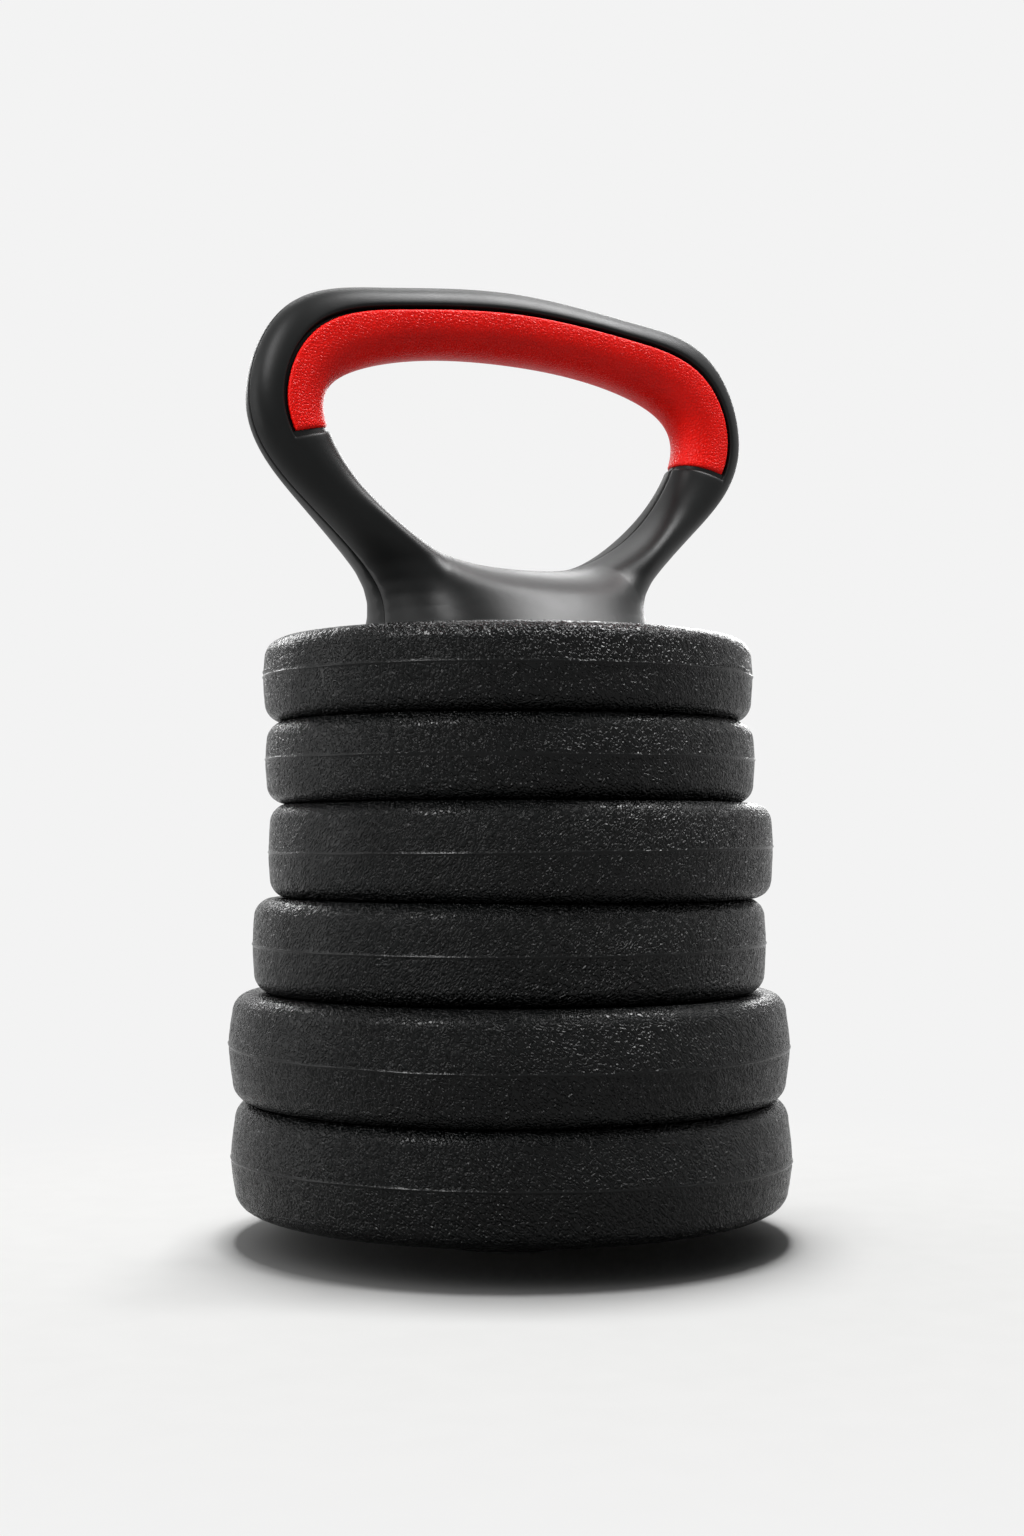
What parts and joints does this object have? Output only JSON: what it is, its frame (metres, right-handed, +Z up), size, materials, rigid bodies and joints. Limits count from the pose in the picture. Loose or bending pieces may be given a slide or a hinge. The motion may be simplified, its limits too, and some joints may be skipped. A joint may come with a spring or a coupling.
{
  "type": "kettlebell",
  "caption": "Adjustable kettlebell: looped handle with a soft grip on a threaded spindle, cement-filled plates stacked in graded sizes, screw-on base nut with a rubber foot.",
  "frame": {"origin": "centre of the foot pad's bottom face, on the floor", "axes": "+Z up along the spindle; X across the handle's loop, so the loop lies in the XZ plane; +Y to the back shell's screw side"},
  "size_m": [0.192, 0.1912, 0.3211],
  "materials": {
    "handle_plastic": "fine satin texture",
    "grip_rubber": "leather-grain soft elastomer",
    "plate_skin": "coarse pebble grain with a sheen",
    "plug_plastic": "smooth",
    "cement": "rough cast cement",
    "spindle_steel": "plated, turned thread",
    "zinc_steel": "zinc plated",
    "washer_rubber": "smooth",
    "knob_plastic": "fine texture",
    "foot_rubber": "matte"
  },
  "bodies": {
    "plate_6": {"plate_6_shell": "plate_skin", "plate_6_core": "cement", "plate_6_plug": "plug_plastic"},
    "handle": {"handle_front_shell": "handle_plastic", "handle_back_shell": "handle_plastic", "grip_insert": "grip_rubber", "handle_screws": "zinc_steel", "anchor_plate": "zinc_steel", "anchor_nut": "zinc_steel", "spindle": "spindle_steel"},
    "plate_1": {"plate_1_shell": "plate_skin", "plate_1_core": "cement", "plate_1_plug": "plug_plastic"},
    "plate_2": {"plate_2_shell": "plate_skin", "plate_2_core": "cement", "plate_2_plug": "plug_plastic"},
    "plate_3": {"plate_3_shell": "plate_skin", "plate_3_core": "cement", "plate_3_plug": "plug_plastic"},
    "plate_4": {"plate_4_shell": "plate_skin", "plate_4_core": "cement", "plate_4_plug": "plug_plastic"},
    "plate_5": {"plate_5_shell": "plate_skin", "plate_5_core": "cement", "plate_5_plug": "plug_plastic"},
    "washer": {"base_washer": "washer_rubber"},
    "base_nut": {"steel_nut": "zinc_steel", "nut_knob": "knob_plastic", "foot_pad": "foot_rubber"}
  },
  "joints": [
    {"name": "handle_lift", "type": "slide", "parent": "plate_6", "child": "handle", "axis": [0, 0, 1], "range_m": [0, 0.204]},
    {"name": "plate_1_slide", "type": "slide", "parent": "handle", "child": "plate_1", "axis": [0, 0, -1], "range_m": [0, 0.204]},
    {"name": "plate_2_slide", "type": "slide", "parent": "handle", "child": "plate_2", "axis": [0, 0, -1], "range_m": [0, 0.204]},
    {"name": "plate_3_slide", "type": "slide", "parent": "handle", "child": "plate_3", "axis": [0, 0, -1], "range_m": [0, 0.204]},
    {"name": "plate_4_slide", "type": "slide", "parent": "handle", "child": "plate_4", "axis": [0, 0, -1], "range_m": [0, 0.204]},
    {"name": "plate_5_slide", "type": "slide", "parent": "handle", "child": "plate_5", "axis": [0, 0, -1], "range_m": [0, 0.204]},
    {"name": "washer_slide", "type": "slide", "parent": "handle", "child": "washer", "axis": [0, 0, -1], "range_m": [0, 0.204]},
    {"name": "nut_spin", "type": "hinge", "parent": "plate_6", "child": "base_nut", "pos_m": [0, 0, 0], "axis": [0, 0, -1], "range_deg": [0, 12240]}
  ],
  "couplings": [
    {"joint": "plate_1_slide", "follows": "handle_lift", "ratio": 1},
    {"joint": "plate_2_slide", "follows": "handle_lift", "ratio": 1},
    {"joint": "plate_3_slide", "follows": "handle_lift", "ratio": 1},
    {"joint": "plate_4_slide", "follows": "handle_lift", "ratio": 1},
    {"joint": "plate_5_slide", "follows": "handle_lift", "ratio": 1},
    {"joint": "washer_slide", "follows": "handle_lift", "ratio": 1},
    {"joint": "nut_spin", "follows": "handle_lift", "rad_per_m": 1047.2}
  ]
}
